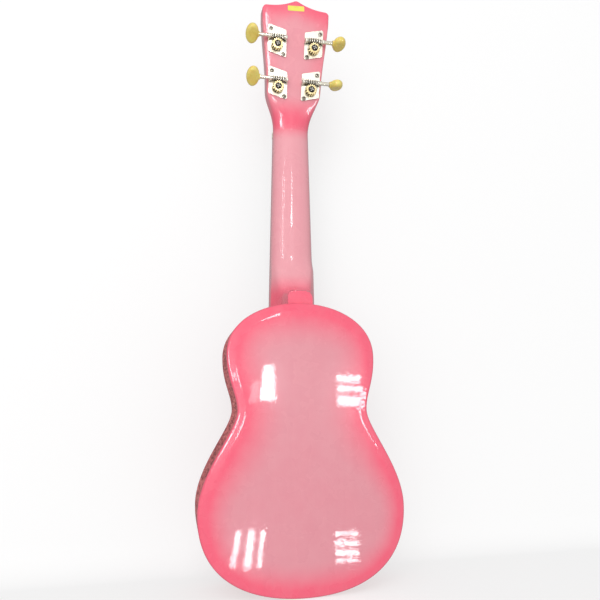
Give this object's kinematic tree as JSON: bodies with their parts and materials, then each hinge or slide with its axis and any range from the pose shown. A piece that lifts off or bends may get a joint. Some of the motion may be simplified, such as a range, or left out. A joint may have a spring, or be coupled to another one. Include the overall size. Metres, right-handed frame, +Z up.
{
  "type": "soprano ukulele",
  "caption": "Small figure-eight-bodied ukulele in a pale-to-pink burst lacquer, with a crown-topped tilted headstock, open-gear tuners and oval cream buttons.",
  "frame": {"origin": "on the floor under the tail, on the middle line, midway between the frontmost string and the backmost point of the arched back", "axes": "+Z up the neck, +Y out of the back (the soundboard faces -Y), +X towards the A string's side"},
  "size_m": [0.169, 0.069, 0.536],
  "materials": {
    "burst_back": "gloss lacquer, pale rose middle to deep pink rim",
    "burst_front": "gloss lacquer, pale rose middle to deep pink rim",
    "burst_side": "gloss lacquer, deep rose",
    "burst_neck": "gloss lacquer, rose pink",
    "inner_wood": "bare, sanded",
    "brace_wood": "bare, sanded",
    "dark_wood": "oiled, satin",
    "rosette": "ringed inlay under lacquer",
    "bone_white": "satin",
    "pearl": "polished",
    "fret_metal": "polished",
    "nickel": "bright nickel plate",
    "gear_brass": "machined",
    "dark_screw": "blackened",
    "button_cream": "polished, cream yellow",
    "nylon": "smooth, slightly clear",
    "label": "plain yellow label"
  },
  "bodies": {
    "instrument": {"back_plate": "burst_back", "soundboard": "burst_front", "side_treble": "burst_side", "side_bass": "burst_side", "neck": "burst_neck", "tail_block": "inner_wood", "neck_block": "inner_wood", "top_linings": "inner_wood", "back_linings": "inner_wood", "top_brace_lower": "brace_wood", "top_brace_upper": "brace_wood", "back_brace_lower": "brace_wood", "back_brace_upper": "brace_wood", "bridge_plate": "brace_wood", "neck_dowels": "inner_wood", "rosette": "rosette", "bridge": "dark_wood", "fingerboard": "dark_wood", "saddle": "bone_white", "nut": "bone_white", "position_dots": "pearl", "frets": "fret_metal", "headstock_sticker": "label", "plate_screws": "nickel", "post_bushings": "nickel", "string_g": "nylon", "tuner_plate_g": "nickel", "string_c": "nylon", "tuner_plate_c": "nickel", "string_e": "nylon", "tuner_plate_e": "nickel", "string_a": "nylon", "tuner_plate_a": "nickel"},
    "knob_g": {"worm_shaft_g": "nickel", "button_g": "button_cream"},
    "post_g": {"post_g": "nickel", "gear_g": "gear_brass", "gear_screw_g": "dark_screw", "string_coil_g": "nylon"},
    "knob_c": {"worm_shaft_c": "nickel", "button_c": "button_cream"},
    "post_c": {"post_c": "nickel", "gear_c": "gear_brass", "gear_screw_c": "dark_screw", "string_coil_c": "nylon"},
    "knob_e": {"worm_shaft_e": "nickel", "button_e": "button_cream"},
    "post_e": {"post_e": "nickel", "gear_e": "gear_brass", "gear_screw_e": "dark_screw", "string_coil_e": "nylon"},
    "knob_a": {"worm_shaft_a": "nickel", "button_a": "button_cream"},
    "post_a": {"post_a": "nickel", "gear_a": "gear_brass", "gear_screw_a": "dark_screw", "string_coil_a": "nylon"}
  },
  "joints": [
    {"name": "knob_g_turn", "type": "hinge", "parent": "instrument", "child": "knob_g", "pos_m": [-0.0162, 0.00155, 0.45453], "axis": [1, 0, 0], "continuous": true},
    {"name": "post_g_turn", "type": "hinge", "parent": "instrument", "child": "post_g", "pos_m": [-0.0162, -0.00376, 0.44805], "axis": [0, 0.9848, -0.1736], "continuous": true},
    {"name": "knob_c_turn", "type": "hinge", "parent": "instrument", "child": "knob_c", "pos_m": [-0.0181, 0.00861, 0.49461], "axis": [1, 0, 0], "continuous": true},
    {"name": "post_c_turn", "type": "hinge", "parent": "instrument", "child": "post_c", "pos_m": [-0.0181, 0.00331, 0.48813], "axis": [0, 0.9848, -0.1736], "continuous": true},
    {"name": "knob_e_turn", "type": "hinge", "parent": "instrument", "child": "knob_e", "pos_m": [0.0181, 0.00861, 0.49461], "axis": [1, 0, 0], "continuous": true},
    {"name": "post_e_turn", "type": "hinge", "parent": "instrument", "child": "post_e", "pos_m": [0.0181, 0.00331, 0.48813], "axis": [0, 0.9848, -0.1736], "continuous": true},
    {"name": "knob_a_turn", "type": "hinge", "parent": "instrument", "child": "knob_a", "pos_m": [0.0162, 0.00155, 0.45453], "axis": [1, 0, 0], "continuous": true},
    {"name": "post_a_turn", "type": "hinge", "parent": "instrument", "child": "post_a", "pos_m": [0.0162, -0.00376, 0.44805], "axis": [0, 0.9848, -0.1736], "continuous": true}
  ],
  "couplings": [
    {"joint": "post_g_turn", "follows": "knob_g_turn", "ratio": -0.071429},
    {"joint": "post_c_turn", "follows": "knob_c_turn", "ratio": -0.071429},
    {"joint": "post_e_turn", "follows": "knob_e_turn", "ratio": -0.071429},
    {"joint": "post_a_turn", "follows": "knob_a_turn", "ratio": -0.071429}
  ]
}
